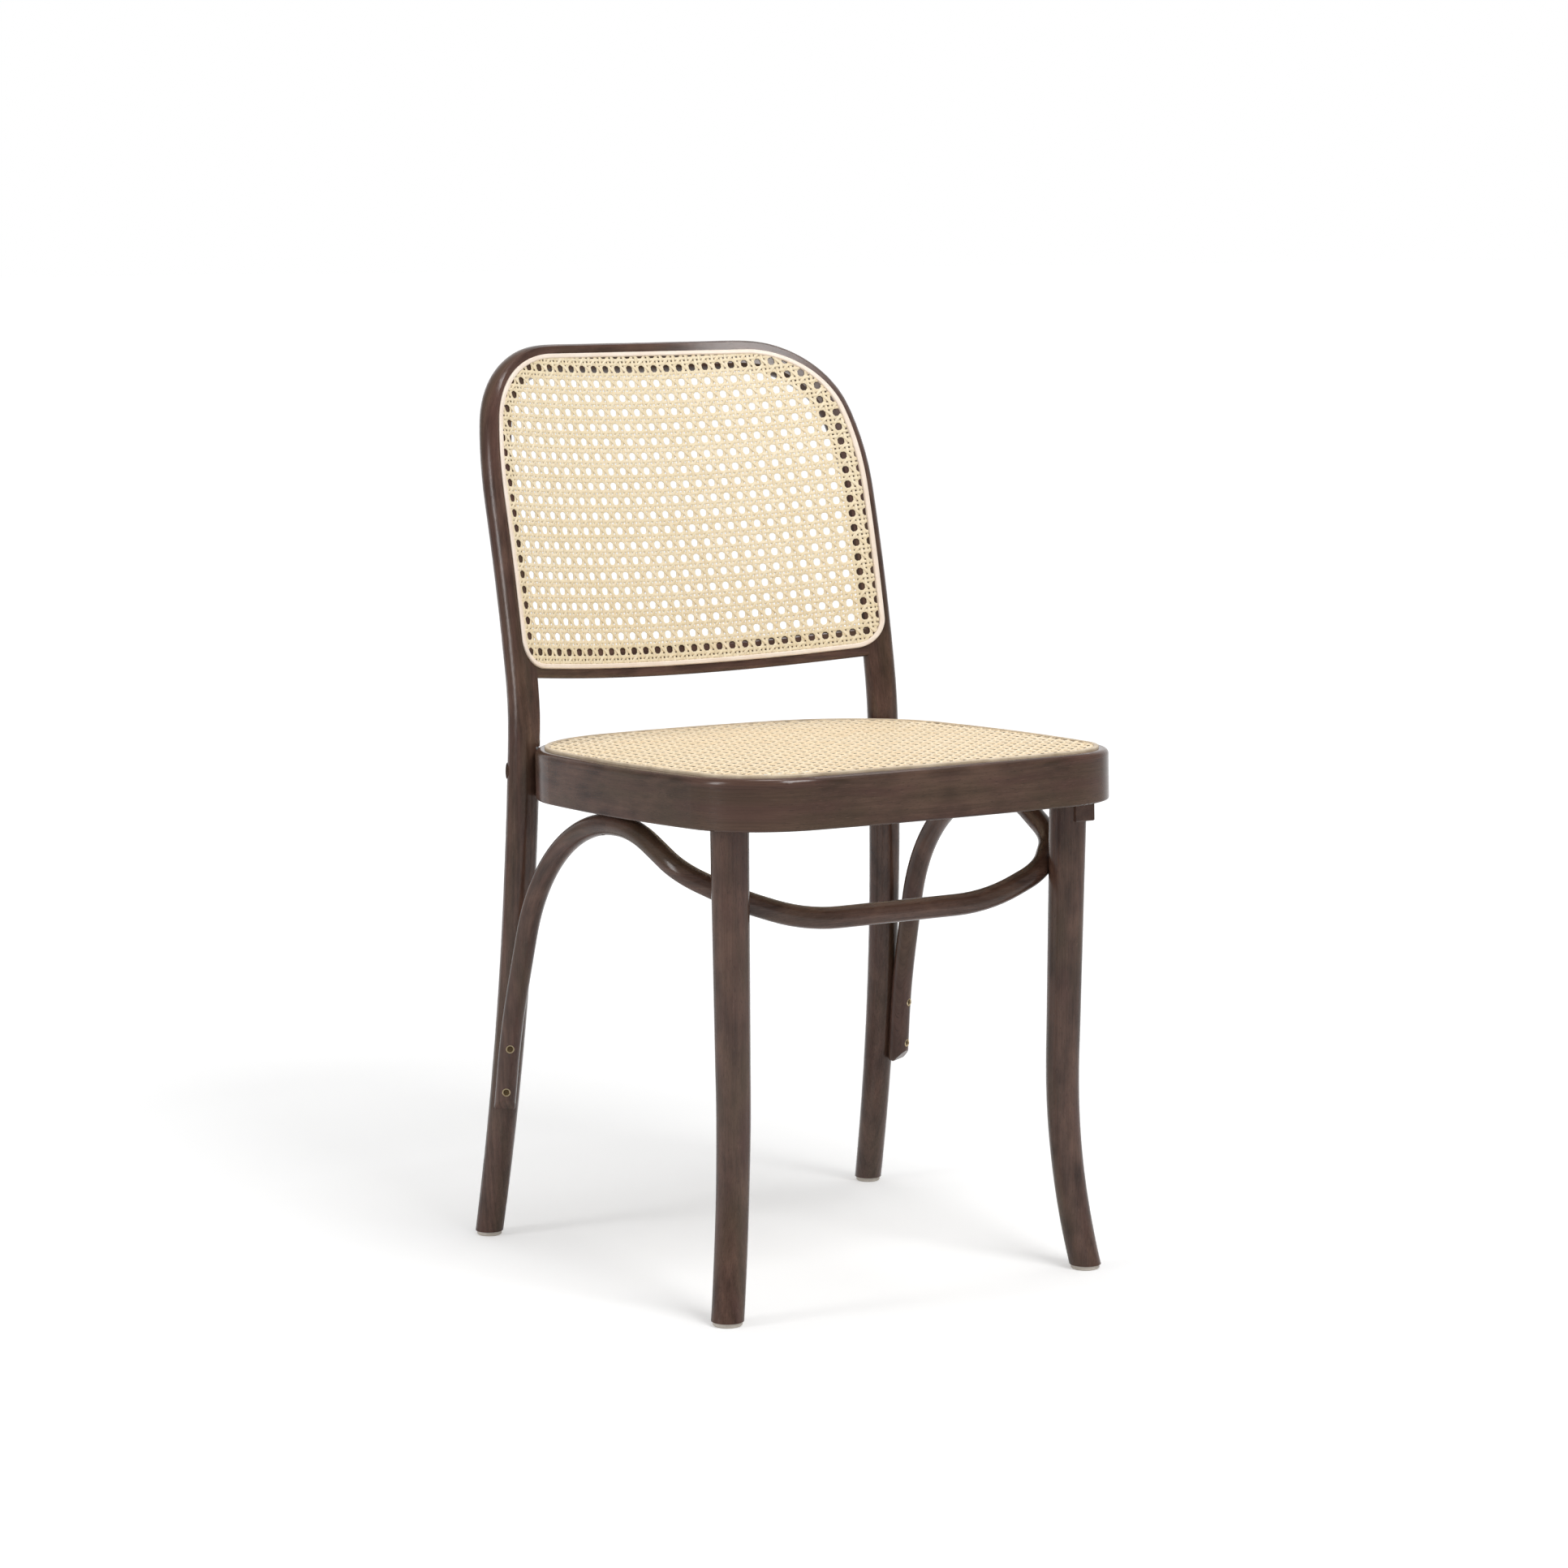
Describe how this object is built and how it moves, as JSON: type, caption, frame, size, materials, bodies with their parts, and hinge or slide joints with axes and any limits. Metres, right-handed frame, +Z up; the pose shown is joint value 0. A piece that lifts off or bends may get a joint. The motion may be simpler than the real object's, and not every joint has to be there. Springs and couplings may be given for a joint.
{
  "type": "dining chair",
  "caption": "Bentwood dining chair with woven cane seat and back, a looped back frame, flared round front legs and a bent brace under the seat.",
  "frame": {"origin": "on the floor, under the middle of the chair's outer box", "axes": "+Z up, -Y to the front, +X to the right seen from the front"},
  "size_m": [0.4458, 0.5451, 0.8118],
  "materials": {
    "dark_wood": "dark brown stain, satin lacquer",
    "cane": "natural woven cane",
    "cane_strip": "natural reed strip",
    "glide": "pale nylon",
    "brass": "plain",
    "steel": "zinc plated",
    "dowel": "plain beech"
  },
  "bodies": {
    "root": {"back_loop": "dark_wood", "back_rail": "dark_wood", "seat_ring": "dark_wood", "front_leg_left": "dark_wood", "front_leg_right": "dark_wood", "brace": "dark_wood", "leg_head_block": "dark_wood", "corner_block_left": "dark_wood", "corner_block_right": "dark_wood", "back_cane": "cane", "seat_cane": "cane", "back_spline": "cane_strip", "seat_spline": "cane_strip", "glide_front_left": "glide", "glide_front_right": "glide", "glide_rear_left": "glide", "glide_rear_right": "glide", "brace_screws": "brass", "brace_screw_cups": "brass", "glide_nails": "steel", "rail_dowels": "dowel", "seat_bolts": "steel", "seat_bolt_washers": "steel", "seat_bolt_nuts": "steel", "brace_seat_screws": "steel", "brace_leg_screws": "steel"}
  },
  "joints": []
}
